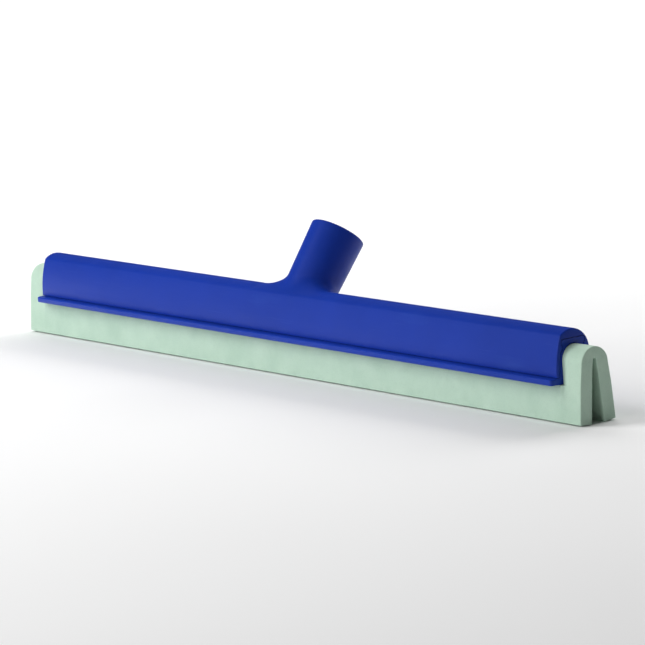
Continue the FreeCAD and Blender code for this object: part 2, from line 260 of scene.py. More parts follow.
@dataclass(frozen=True)
class FoamRubber:
    """Closed-cell foam rubber: matt, finely pored with painted shade in the pores, slightly mottled."""

    name: str
    colour: Colour
    pale: Colour
    shadow: Colour
    mottle_size: float = 0.018
    cell_size: float = 0.0011
    wave_size: float = 0.006
    cell_depth: float = 0.00012
    wave_depth: float = 0.0003
    roughness: float = 0.88

    def build(self) -> bpy.types.Material:
        """Makes the material.

        Returns:
            The material.
        """
        tree = NodeTree(self.name)
        mottle = tree.noise(self.mottle_size, 4.0, 0.6)
        cells = tree.nodes.new("ShaderNodeTexVoronoi")
        cells.inputs["Scale"].default_value = 1.0 / self.cell_size
        tree.link(tree.place, cells.inputs["Vector"])
        pores = tree.ramp(cells.outputs["Distance"], 0.05, 0.5, 0.0, 1.0)
        base = tree.mix_colour(tree.ramp(mottle, 0.32, 0.68, 0.0, 1.0), self.colour, self.pale)
        # painted shade: the pits of the pores are darkened towards the shadow colour
        depth = tree.ramp(pores, 0.0, 0.45, 0.5, 0.0)
        tree.link(tree.mix_colour(depth, base, self.shadow), tree.shader.inputs["Base Color"])
        tree.shader.inputs["Roughness"].default_value = self.roughness
        tree.shader.inputs["Specular IOR Level"].default_value = 0.25
        tree.shader.inputs["Sheen Weight"].default_value = 0.15
        tree.shader.inputs["Sheen Roughness"].default_value = 0.6
        pitted = tree.bump(pores, self.cell_depth, 0.5)
        wavy = tree.noise(self.wave_size, 3.0, 0.5)
        tree.link(tree.bump(wavy, self.wave_depth, 0.35, pitted), tree.shader.inputs["Normal"])
        return tree.material


BLUE_HEAD = MouldedPlastic("blue_polypropylene", (0.008, 0.036, 0.325), (0.022, 0.066, 0.38))
BLUE_RAIL = MouldedPlastic("blue_rail_polypropylene", (0.008, 0.038, 0.335), (0.022, 0.066, 0.38), 0.40)
CORE_WHITE = MouldedPlastic("natural_core_plastic", (0.72, 0.72, 0.68), (0.55, 0.55, 0.52), 0.5)
MINT_FOAM = FoamRubber("mint_foam_rubber", (0.412, 0.572, 0.462), (0.472, 0.632, 0.517), (0.22, 0.33, 0.27))


# ---------------------------------------------------------------- modelling helpers


def deselect() -> None:
    """Leaves nothing selected."""
    for item in bpy.context.view_layer.objects:
        item.select_set(False)
    bpy.context.view_layer.objects.active = None


def edit(piece: bpy.types.Object, mode: str = "VERT") -> None:
    """Opens a piece in edit mode with nothing selected.

    Args:
        piece: The piece to edit.
        mode: What is selected: VERT, EDGE or FACE.
    """
    deselect()
    piece.select_set(True)
    bpy.context.view_layer.objects.active = piece
    bpy.ops.object.mode_set(mode="EDIT")
    bpy.ops.mesh.select_mode(type=mode)
    bpy.ops.mesh.select_all(action="DESELECT")


def leave_edit() -> None:
    """Closes edit mode."""
    bpy.ops.object.mode_set(mode="OBJECT")
    deselect()


def pick_edges(test: EdgeTest) -> int:
    """Selects, in edit mode, the edges whose two ends both pass a test.

    Args:
        test: Takes an edge's two ends and says whether it is wanted.

    Returns:
        How many edges are selected.
    """
    mesh = bmesh.from_edit_mesh(bpy.context.object.data)
    bpy.ops.mesh.select_all(action="DESELECT")
    count = 0
    for edge in mesh.edges:
        if test(edge.verts[0].co, edge.verts[1].co):
            edge.select = True
            count += 1
    mesh.select_flush_mode()
    bmesh.update_edit_mesh(bpy.context.object.data)
    return count


def pick_faces(test: PlaceTest) -> int:
    """Selects, in edit mode, the faces whose middle passes a test.

    Args:
        test: Takes a face's middle and says whether it is wanted.

    Returns:
        How many faces are selected.
    """
    mesh = bmesh.from_edit_mesh(bpy.context.object.data)
    bpy.ops.mesh.select_all(action="DESELECT")
    count = 0
    for face in mesh.faces:
        if test(face.calc_center_median()):
            face.select = True
            count += 1
    mesh.select_flush_mode()
    bmesh.update_edit_mesh(bpy.context.object.data)
    return count


def anywhere(_place: Vector) -> bool:
    """Accepts every place."""
    return True


def pick_open_edges(test: PlaceTest = anywhere) -> int:
    """Selects, in edit mode, the edges that have one face only and whose ends pass a test.

    Args:
        test: Takes an end of an edge and says whether it is wanted.

    Returns:
        How many edges are selected.
    """
    mesh = bmesh.from_edit_mesh(bpy.context.object.data)
    bpy.ops.mesh.select_all(action="DESELECT")
    count = 0
    for edge in mesh.edges:
        if len(edge.link_faces) == 1 and all(test(vertex.co) for vertex in edge.verts):
            edge.select = True
            count += 1
    mesh.select_flush_mode()
    bmesh.update_edit_mesh(bpy.context.object.data)
    return count


def bevel_edges(width: float, segments: int, test: EdgeTest) -> None:
    """Rounds the edges that pass a test.

    Args:
        width: The rounding's width in millimetres.
        segments: Faces across the rounding.
        test: Takes an edge's two ends and says whether it is wanted.
    """
    bpy.ops.mesh.select_mode(type="EDGE")
    if not pick_edges(test):
        raise RuntimeError("no edges to round")
    bpy.ops.mesh.bevel(offset=width * MM, offset_type="OFFSET", segments=segments, profile=0.5,
                       affect="EDGES", clamp_overlap=True)


@dataclass(frozen=True)
class Arc:
    """A minor arc in a cross-section, in millimetres; it bulges to the left of the way it goes."""

    start: Point
    end: Point
    radius: float

    def middle(self) -> Vector:
        """The centre of its circle.

        Returns:
            The centre, in the cross-section's millimetres.
        """
        first, last = Vector(self.start), Vector(self.end)
        chord = last - first
        reach = math.sqrt(max(self.radius ** 2 - (chord.length / 2) ** 2, 0.0))
        return (first + last) / 2 + Vector((chord.y, -chord.x)).normalized() * reach

    def points(self, steps: int) -> list[Point]:
        """Even points along it, its start left out.

        Args:
            steps: How many points.

        Returns:
            The points, the end included.
        """
        whole = self.turn() * self.radius
        return [tuple(self.point(whole * step / steps)) for step in range(1, steps + 1)]

    def turn(self) -> float:
        """How far it turns, in radians."""
        return 2 * math.asin(min(1.0, (Vector(self.end) - Vector(self.start)).length / 2 / self.radius))

    def point(self, length: float) -> Vector:
        """The point a given length along it, or along its circle past its ends."""
        middle = self.middle()
        return middle + Matrix.Rotation(-length / self.radius, 2) @ (Vector(self.start) - middle)

    def length_at(self, side: float, height: float) -> float:
        """How far along it a place lies."""
        spoke = Vector((side, height)) - self.middle()
        return (Vector(self.start) - self.middle()).angle_signed(spoke) * self.radius

    def off(self, side: float, height: float) -> float:
        """How far a place lies from its circle."""
        return abs((Vector((side, height)) - self.middle()).length - self.radius)


def even_points(start: Point, end: Point, steps: int) -> list[Point]:
    """Even points along a straight line, its start left out.

    Args:
        start: Where the line starts.
        end: Where it ends.
        steps: How many points.

    Returns:
        The points, the end included.
    """
    return [(start[0] + (end[0] - start[0]) * step / steps, start[1] + (end[1] - start[1]) * step / steps)
            for step in range(1, steps + 1)]


def draw_bar(name: str, outline: list[Point], across: float, stations: list[float]) -> bpy.types.Object:
    """Draws a cross-section point by point and extrudes it along the blade.

    Args:
        name: The new piece's name.
        outline: The cross-section, in millimetres from the blade's middle plane and the floor.
        across: Where the blade's middle plane lies, in metres.
        stations: Places along the blade, in millimetres; the first and last are the bar's ends.

    Returns:
        The closed bar, left in edit mode.
    """
    deselect()
    bpy.ops.mesh.primitive_plane_add(size=MM, location=(0.0, 0.0, 0.0))
    piece = bpy.context.object
    piece.name = piece.data.name = name
    edit(piece)
    bpy.ops.mesh.select_all(action="SELECT")
    bpy.ops.mesh.merge(type="CENTER")
    here = Vector((stations[0] * MM, across + outline[0][0] * MM, outline[0][1] * MM))
    bpy.ops.transform.translate(value=here)
    for y, z in outline[1:] + outline[:1]:
        there = Vector((stations[0] * MM, across + y * MM, z * MM))
        bpy.ops.mesh.extrude_region_move(TRANSFORM_OT_translate={"value": there - here})
        here = there
    bpy.ops.mesh.select_all(action="SELECT")
    bpy.ops.mesh.remove_doubles(threshold=1e-6)
    bpy.ops.mesh.edge_face_add()
    bpy.ops.mesh.select_mode(type="FACE")
    for before, after in zip(stations, stations[1:]):
        shift = Vector(((after - before) * MM, 0.0, 0.0))
        bpy.ops.mesh.extrude_region_move(TRANSFORM_OT_translate={"value": shift})
    bpy.ops.mesh.select_all(action="SELECT")
    bpy.ops.mesh.normals_make_consistent(inside=False)
    return piece


def near(value: float, target: float, reach: float = 0.02) -> bool:
    """Says whether a length in metres is a target in millimetres, within a reach in millimetres."""
    return abs(value / MM - target) < reach


def finish_piece(piece: bpy.types.Object, material: bpy.types.Material, sharp: float = 32.0) -> None:
    """Closes edit mode, shades the piece smooth and dresses it.

    Args:
        piece: The piece.
        material: Its material.
        sharp: Edges that turn more than this many degrees stay crisp.
    """
    bpy.ops.mesh.select_all(action="SELECT")
    bpy.ops.mesh.normals_make_consistent(inside=False)
    leave_edit()
    piece.select_set(True)
    bpy.context.view_layer.objects.active = piece
    bpy.ops.object.shade_smooth_by_angle(angle=math.radians(sharp))
    deselect()
    piece.data.materials.clear()
    piece.data.materials.append(material)


def dress(piece: bpy.types.Object, material: bpy.types.Material) -> None:
    """Gives a piece one material."""
    piece.data.materials.clear()
    piece.data.materials.append(material)


# ---------------------------------------------------------------- the head


@dataclass
class SocketSizes:
    """The handle socket, in millimetres and degrees, from the blade's middle plane and the floor."""

    tilt: float = 37.4
    back: float = 22.9
    height: float = 65.0
    rise: float = 29.6
    mouth_radius: float = 19.0
    root_radius: float = 17.1
    root_depth: float = 40.0
    bore_radius: float = 15.6
    bore_depth: float = 45.0
    bore_bevel: float = 1.0
    rim_round: float = 1.2
    blend_middle: float = -5.0
    blend_slope: float = 0.073
    blend_sag: float = -0.0231
    chin: float = 37.5
    chin_slope: float = 0.35
    root_reach: float = 45.0
    halvings: int = 40


@dataclass
class Head:
    """The blue moulding: an arched beam with a channel below and a handle socket behind."""

    across: float
    length: float = 566.4
    foot_half: float = 14.6
    foot: float = 28.6
    crease_half: float = 10.0
    crease: float = 54.5
    shoulder_half: float = 13.2
    shoulder: float = 43.0
    side_radius: float = 70.0
    top_radius: float = 14.3
    crease_round: float = 0.9
    end_round: float = 0.9
    foot_round: float = 0.5
    blend_reach: float = 38.0
    channel_mouth_half: float = 12.5
    channel_bend: Point = (11.6, 38.1)
    channel_shoulder: Point = (10.6, 43.5)
    rib_half: float = 8.5
    rib_bottom: float = 45.8
    rib_top: float = 47.6
    groove_half: float = 9.7
    groove_top: float = 50.9
    roof_half: float = 8.7
    roof: float = 51.9
    front_steps: int = 6
    top_steps: int = 12
    back_steps: int = 4
    spread: float = 1.6
    blend_steps: int = 20
    flow_rows: int = 14
    flow_smoothings: int = 2
    smoothing: float = 0.5
    socket: SocketSizes = field(default_factory=SocketSizes)

    def channel(self) -> list[Point]:
        """The channel's back half, from the foot to the top.

        Returns:
            The points, from the outside in.
        """
        return [(self.channel_mouth_half, self.foot), self.channel_bend, self.channel_shoulder,
                (self.rib_half, self.rib_bottom), (self.rib_half, self.rib_top),
                (self.groove_half, self.rib_top), (self.groove_half, self.groove_top),
                (self.roof_half, self.roof)]

    def skin(self) -> tuple[Arc, Arc, Arc]:
        """The beam's outside: its front, its arch and its back.

        Returns:
            The three arcs, from the front foot to the back foot.
        """
        crease, shoulder = (-self.crease_half, self.crease), (self.shoulder_half, self.shoulder)
        return (Arc((-self.foot_half, self.foot), crease, self.side_radius),
                Arc(crease, shoulder, self.top_radius),
                Arc(shoulder, (self.foot_half, self.foot), self.side_radius))

    def outline(self) -> list[Point]:
        """The beam's whole cross-section, as one closed line round skin and channel.

        Returns:
            The points of the closed line.
        """
        points = [(-self.foot_half, self.foot)]
        for arc, steps in zip(self.skin(), (self.front_steps, self.top_steps, self.back_steps)):
            points += arc.points(steps)
        inner = self.channel()
        points += inner
        points += [(-y, z) for y, z in reversed(inner)]
        return points

    def stations(self) -> list[float]:
        """Places along the beam: even steps under the socket and none elsewhere.

        Returns:
            The places, in millimetres from the middle.
        """
        half = self.length / 2
        reach = self.blend_reach
        steps = [reach * (2 * step / self.blend_steps - 1) for step in range(self.blend_steps + 1)]
        outer = reach * self.spread
        return [-half, -half / 2, -outer] + steps + [outer, half / 2, half]

    def build(self, material: bpy.types.Material) -> bpy.types.Object:
        """Makes the head.

        Args:
            material: The head's plastic.

        Returns:
            The finished piece.
        """
        piece = draw_bar("squeegee_head", self.outline(), self.across, self.stations())
        self.round_edges()
        self.open_blend()
        self.add_socket()
        finish_piece(piece, material)
        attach(piece, Body.HEAD.value)
        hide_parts("head")
        return piece

    def side(self, place: Vector) -> float:
        """How far a place lies from the blade's middle plane, in millimetres."""
        return (place.y - self.across) / MM

    def round_edges(self) -> None:
        """Softens the crease, the ends and the foot."""
        bevel_edges(self.crease_round, 3, self.on_crease_edge)
        bevel_edges(self.end_round, 4, self.on_end_edge)
        bevel_edges(self.foot_round, 2, self.on_foot_edge)

    def on_crease_edge(self, first: Vector, second: Vector) -> bool:
        """Says whether an edge lies on the front crease."""
        return all(near(place.z, self.crease) and abs(self.side(place) + self.crease_half) < 0.02
                   for place in (first, second))

    def on_end_edge(self, first: Vector, second: Vector) -> bool:
        """Says whether an edge runs over the skin at either end, other than along the foot."""
        at_end = all(near(abs(place.x), self.length / 2) and self.on_skin(place) for place in (first, second))
        return at_end and not (near(first.z, self.foot) and near(second.z, self.foot))

    def on_foot_edge(self, first: Vector, second: Vector) -> bool:
        """Says whether an edge is a long one on the foot's outer corner.

        Args:
            first: One end of the edge.
            second: The other end.

        Returns:
            Whether it is one.
        """
        on_foot = all(near(place.z, self.foot, 0.05) and abs(self.side(place)) > self.foot_half - 0.6
                      for place in (first, second))
        return on_foot and abs(first.x - second.x) > MM

    def on_skin(self, place: Vector) -> bool:
        """Says whether a place is on the beam's outside, rather than on its channel."""
        return min(arc.off(self.side(place), place.z / MM) for arc in self.skin()) < 0.35

    def open_blend(self) -> None:
        """Takes away the skin where the socket's root flows into the beam."""
        bpy.ops.mesh.select_mode(type="FACE")
        pick_faces(self.under_socket)
        bpy.ops.mesh.delete(type="FACE")

    def under_socket(self, middle: Vector) -> bool:
        """Tells skin faces from the front crease over the arch to the blend's foot.

        Args:
            middle: A face's middle.

        Returns:
            Whether the face is taken away.
        """
        front = self.crease + self.crease_round / 2
        back = self.foot + (self.shoulder - self.foot) / self.back_steps
        if abs(middle.x) > self.blend_reach * MM or not self.on_skin(middle):
            return False
        return middle.z / MM > (front if self.side(middle) < 0 else back)

    def axis_point(self, along: float) -> Vector:
        """A point on the socket's axis, in metres, the given millimetres up from its datum.

        Args:
            along: Millimetres up the axis from its datum.

        Returns:
            The point, in metres.
        """
        tilt = math.radians(self.socket.tilt)
        return Vector((0.0, self.across + (self.socket.back + along * math.sin(tilt)) * MM,
                       (self.socket.height + along * math.cos(tilt)) * MM))

    def radius_at(self, along: float) -> float:
        """The socket's outside radius in millimetres at a height along its axis.

        Args:
            along: Millimetres up the axis from its datum.

        Returns:
            The radius, in millimetres.
        """
        size = self.socket
        share = (along + size.root_depth) / (size.root_depth + size.rise)
        return size.root_radius + (size.mouth_radius - size.root_radius) * share

    def add_socket(self) -> None:
        """Adds the tube, bridges it to the beam, and turns its rim into the bore."""
        size = self.socket
        tilt = math.radians(size.tilt)
        bpy.ops.mesh.select_mode(type="EDGE")
        count = pick_open_edges()
        top = size.rise - size.rim_round
        bottom = size.blend_middle
        middle = self.axis_point((top + bottom) / 2)
        bpy.ops.mesh.select_all(action="DESELECT")
        bpy.ops.mesh.primitive_cylinder_add(
            vertices=count, radius=size.root_radius * MM, depth=(top - bottom) * MM,
            end_fill_type="NOTHING", location=middle, rotation=(-tilt, 0.0, 0.0))
        self.shape_tube()
        mouth = self.axis_point(top)
        axis = (self.axis_point(1.0) - self.axis_point(0.0)).normalized()
        pick_open_edges(lambda place: (place - mouth).dot(axis) < -0.5 * MM)
        self.flow_together(axis)
        self.turn_rim(axis)

    def along_skin(self, place: Vector) -> float:
        """How far over the skin a place lies from the front crease, in millimetres.

        Args:
            place: A place in the object's frame, in metres.

        Returns:
            The length over the skin, in millimetres.
        """
        _, arch, back = self.skin()
        side, height = self.side(place), place.z / MM
        if height > self.shoulder or side < 0:
            return arch.length_at(side, height)
        return arch.turn() * arch.radius + back.length_at(side, height)

    def skin_point(self, x: float, length: float) -> Vector:
        """The place on the skin at x metres along the blade and a length in millimetres over the skin.

        Args:
            x: How far along the blade, in metres.
            length: How far over the skin, in millimetres.

        Returns:
            The place, in metres.
        """
        _, arch, back = self.skin()
        over = length - arch.turn() * arch.radius
        flat = arch.point(length) if over < 0 else back.point(over)
        return Vector((x, self.across + flat.x * MM, flat.y * MM))

    def above_skin(self, place: Vector) -> float:
        """How far a place stands off the arch or the back, in millimetres; negative is inside.

        Args:
            place: A place in the object's frame, in metres.

        Returns:
            The distance, in millimetres.
        """
        _, arch, back = self.skin()
        arc = arch if place.z / MM > self.shoulder else back
        return (Vector((self.side(place), place.z / MM)) - arc.middle()).length - arc.radius

    def tube_foot(self, ring_place: Vector, axis: Vector) -> Vector:
        """Where the tube's wall, run straight down, meets the beam or the height of the chin.

        Args:
            ring_place: A place on the tube's foot ring.
            axis: The socket's direction.

        Returns:
            The meeting place.
        """
        low, high = 0.0, self.socket.root_reach
        for _ in range(self.socket.halvings):
            middle = (low + high) / 2
            place = ring_place - axis * middle * MM
            if self.above_skin(place) > 0 and place.z / MM > self.socket.chin:
                low = middle
            else:
                high = middle
        return ring_place - axis * low * MM

    def flow_together(self, axis: Vector) -> None:
        """Joins the two open rings by a skin that leaves the beam and the tube along their surfaces.

        Args:
            axis: The socket's direction.
        """
        mesh = bmesh.from_edit_mesh(bpy.context.object.data)
        edges = [edge for edge in mesh.edges if edge.select]
        loops = self.ordered_loops(edges)
        loops.sort(key=lambda loop: max(abs(vertex.co.x) for vertex in loop), reverse=True)
        beam_ring, tube_ring = loops
        rows = [beam_ring]
        feet = [self.tube_foot(high.co, axis) for high in tube_ring]
        for step in range(1, self.flow_rows):
            share = step / self.flow_rows
            rows.append([mesh.verts.new(self.flow_point(low.co, foot, high.co, share))
                         for low, foot, high in zip(beam_ring, feet, tube_ring)])
        rows.append(tube_ring)
        count = len(beam_ring)
        for first, second in zip(rows, rows[1:]):
            for index in range(count):
                after = (index + 1) % count
                mesh.faces.new((first[index], first[after], second[after], second[index]))
        inner = [vertex for row in rows[1:-1] for vertex in row]
        for _ in range(self.flow_smoothings):
            bmesh.ops.smooth_vert(mesh, verts=inner, factor=self.smoothing, use_axis_x=True, use_axis_y=True,
                                  use_axis_z=True)
        bmesh.update_edit_mesh(bpy.context.object.data)

    def flow_point(self, low: Vector, foot: Vector, high: Vector, share: float) -> Vector:
        """A point on the fillet that follows the beam's skin at first and the tube's wall at last.

        Args:
            low: The fillet's start on the beam.
            foot: Where the tube's wall would meet the beam.
            high: The fillet's end on the tube.
            share: How far along the fillet, from 0 to 1.

        Returns:
            The point.
        """
        off = max(0.0, self.above_skin(foot))
        landing = foot - Vector((0.0, 0.0, off * self.socket.chin_slope * MM))
        start, end = self.along_skin(low), self.along_skin(landing)
        nearest = self.skin_point(foot.x, end)
        on_beam = self.skin_point(low.x + (foot.x - low.x) * share, start + (end - start) * share)
        on_beam += (foot - nearest) * share ** 2
        on_tube = foot.lerp(high, share)
        return on_beam.lerp(on_tube, share * share * (3 - 2 * share))

    def ordered_loops(self, edges: list[bmesh.types.BMEdge]) -> list[list[bmesh.types.BMVert]]:
        """Sorts rings of edges into rings of vertices.

        Args:
            edges: The edges of the rings.

        Returns:
            One list of vertices per ring, from its front middle round by the blade's far end.
        """
        mates: dict[bmesh.types.BMVert, list[bmesh.types.BMVert]] = {}
        for edge in edges:
            first, second = edge.verts
            mates.setdefault(first, []).append(second)
            mates.setdefault(second, []).append(first)
        loops = []
        while mates:
            start = min((v for v in mates if abs(v.co.x) < 0.1 * MM), key=lambda v: v.co.y)
            loop = [start, max(mates[start], key=lambda v: v.co.x)]
            while True:
                onward = next(v for v in mates[loop[-1]] if v is not loop[-2])
                if onward is start:
                    break
                loop.append(onward)
            for vertex in loop:
                del mates[vertex]
            loops.append(loop)
        return loops

    def shape_tube(self) -> None:
        """Tapers the new tube and gives its foot the saddle that follows the beam."""
        size = self.socket
        mesh = bmesh.from_edit_mesh(bpy.context.object.data)
        axis = (self.axis_point(1.0) - self.axis_point(0.0)).normalized()
        down = Vector((0.0, axis.z, -axis.y))
        datum = self.axis_point(0.0)
        middle = (size.rise - size.rim_round + size.blend_middle) / 2
        for vertex in mesh.verts:
            if not vertex.select:
                continue
            spoke = vertex.co - datum
            along = spoke.dot(axis) / MM
            out = spoke - axis * along * MM
            if along < middle:
                offset = out.dot(down) / MM
                along = size.blend_middle + size.blend_slope * offset + size.blend_sag * offset ** 2
            out *= self.radius_at(along) / size.root_radius
            vertex.co = datum + out + axis * along * MM
        bmesh.update_edit_mesh(bpy.context.object.data)

    def turn_rim(self, axis: Vector) -> None:
        """Rounds the rim, bevels the bore's mouth, and sinks the bore.

        Args:
            axis: The socket's direction.
        """
        size = self.socket
        along = size.rise - size.rim_round
        radius = self.radius_at(along)
        rings: list[Point] = []
        for step in range(1, 5):
            angle = math.pi / 2 * step / 4
            rings.append((along + size.rim_round * math.sin(angle),
                          radius - size.rim_round * (1 - math.cos(angle))))
        mouth = size.bore_radius + size.bore_bevel
        rings += [(size.rise, mouth + 0.15), (size.rise - 0.08, mouth - 0.1),
                  (size.rise - size.bore_bevel + 0.1, size.bore_radius + 0.08),
                  (size.rise - size.bore_bevel - 0.15, size.bore_radius)]
        floor = size.rise - size.bore_depth
        rings += [(floor + 1.2, size.bore_radius), (floor + 0.35, size.bore_radius - 0.35),
                  (floor, size.bore_radius - 1.2), (floor, size.bore_radius * 0.4)]
        pick_open_edges()
        for next_along, next_radius in rings:
            bpy.ops.mesh.extrude_region_move(
                TRANSFORM_OT_translate={"value": axis * (next_along - along) * MM})
            scale = next_radius / radius
            bpy.ops.transform.resize(value=(scale, scale, scale),
                                     center_override=self.axis_point(next_along))
            along, radius = next_along, next_radius
        bpy.ops.mesh.edge_face_add()


# ---------------------------------------------------------------- the cassette


@dataclass
class CassetteRail:
    """The U-rail that slides into the head: hooks above, lips below and barbs inside."""

    across: float
    length: float = 566.4
    lip_half: float = 19.8
    lip_bottom: float = 24.2
    lip_top: float = 28.2
    arch_half: float = 9.0
    arch_height: float = 39.4
    arm_foot_half: float = 12.05
    arm_bend: Point = (11.25, 38.0)
    shoulder: Point = (10.2, 43.3)
    neck_half: float = 8.15
    neck_bottom: float = 45.5
    hook_half: float = 9.35
    hook_bottom: float = 48.0
    hook_top: float = 50.6
    crown_half: float = 8.4
    crown: float = 51.5
    mouth_half: float = 9.4
    barb_half: float = 8.6
    low_barb: Point = (26.6, 28.6)
    high_barb: Point = (32.0, 34.0)
    arch_steps: int = 16
    lip_round: float = 0.9
    corner_round: float = 2.0
    edge_round: float = 0.3

    def outline(self) -> list[Point]:
        """The whole cross-section, outside first and then the hollow.

        Returns:
            The points of the closed line.
        """
        outside = [(self.lip_half, self.lip_bottom), (self.lip_half, self.lip_top),
                   (self.arm_foot_half, self.lip_top), self.arm_bend, self.shoulder,
                   (self.neck_half, self.neck_bottom), (self.neck_half, self.hook_bottom),
                   (self.hook_half, self.hook_bottom), (self.hook_half, self.hook_top),
                   (self.crown_half, self.crown)]
        inside = [(self.mouth_half, self.lip_bottom), (self.mouth_half, self.low_barb[0]),
                  (self.barb_half, self.low_barb[1]), (self.mouth_half, self.low_barb[1]),
                  (self.mouth_half, self.high_barb[0]), (self.barb_half, self.high_barb[1]),
                  (self.arch_half, self.high_barb[1]), (self.arch_half, self.arch_height)]
        spring = (-self.arch_half, self.arch_height)
        arch = Arc(spring, (self.arch_half, self.arch_height), self.arch_half)
        points = [(-y, z) for y, z in outside]
        points += [(y, z) for y, z in reversed(outside)]
        points += inside
        points += list(reversed(arch.points(self.arch_steps)))[1:] + [spring]
        points += [(-y, z) for y, z in reversed(inside[:-1])]
        return points

    def side(self, place: Vector) -> float:
        """How far a place lies from the blade's middle plane, in metres, on either side."""
        return abs(place.y - self.across)

    def on_lip_edge(self, first: Vector, second: Vector) -> bool:
        """Says whether both ends of an edge lie on a lip's outermost face."""
        return near(self.side(first), self.lip_half) and near(self.side(second), self.lip_half)

    def on_lip_corner(self, first: Vector, second: Vector) -> bool:
        """Says whether an edge is one of the lips' upright corners."""
        return self.on_lip_edge(first, second) and not near(first.z, second.z / MM)

    def on_lip_rim(self, first: Vector, second: Vector) -> bool:
        """Says whether an edge runs round a lip's top or bottom, its rounded corners included.

        Args:
            first: One end of the edge.
            second: The other end.

        Returns:
            Whether it is one.
        """
        outer = self.lip_half - self.corner_round - 0.05
        for place in (first, second):
            level = near(place.z, self.lip_bottom) or near(place.z, self.lip_top)
            if self.side(place) / MM <= outer or not level:
                return False
        if not near(first.z, second.z / MM):
            return False
        short = abs(first.x - second.x) < 3 * MM
        turning = not near(self.side(first), self.side(second) / MM, 0.001)
        return self.on_lip_edge(first, second) or (short and turning)

    def on_small_edge(self, first: Vector, second: Vector) -> bool:
        """Says whether an edge is a long one at the hollow's mouth or at the crown.

        Args:
            first: One end of the edge.
            second: The other end.

        Returns:
            Whether it is one.
        """
        mouth = near(self.side(first), self.mouth_half) and near(first.z, self.lip_bottom)
        crown = near(self.side(first), self.crown_half) and near(first.z, self.crown)
        return not near(first.x, second.x / MM) and (mouth or crown)

    def build(self, material: bpy.types.Material) -> bpy.types.Object:
        """Makes the rail.

        Args:
            material: The rail's plastic.

        Returns:
            The finished piece.
        """
        half = self.length / 2
        piece = draw_bar("cassette_rail_body", self.outline(), self.across, [-half, half])
        bevel_edges(self.corner_round, 4, self.on_lip_corner)
        bevel_edges(self.lip_round, 3, self.on_lip_rim)
        bevel_edges(self.edge_round, 2, self.on_small_edge)
        finish_piece(piece, material)
        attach(piece, Body.CASSETTE.value)
        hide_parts("cassette_rail")
        return piece


@dataclass(frozen=True)
class FoldSizes:
    """The sizes of the fold's cross-section that change as it springs open, in millimetres."""

    waist_half: float
    neck: Point
    shoulder: Point
    knee: Point
    tip: Point
    tip_rise: float


HELD_FOLD = FoldSizes(12.35, (8.5, 23.9), (8.5, 39.4), (1.0, 29.0), (1.0, 38.8), 0.02)
SPRUNG_FOLD = FoldSizes(12.55, (12.5, 24.6), (10.8, 37.3), (2.4, 32.0), (1.2, 39.8), 1.0)


def blend(held: float, sprung: float, free: float) -> float:
    """The value a share of the way from held to sprung."""
    return held + (sprung - held) * free


def blend_points(held: Point, sprung: Point, free: float) -> Point:
    """The point a share of the way from held to sprung."""
    return blend(held[0], sprung[0], free), blend(held[1], sprung[1], free)


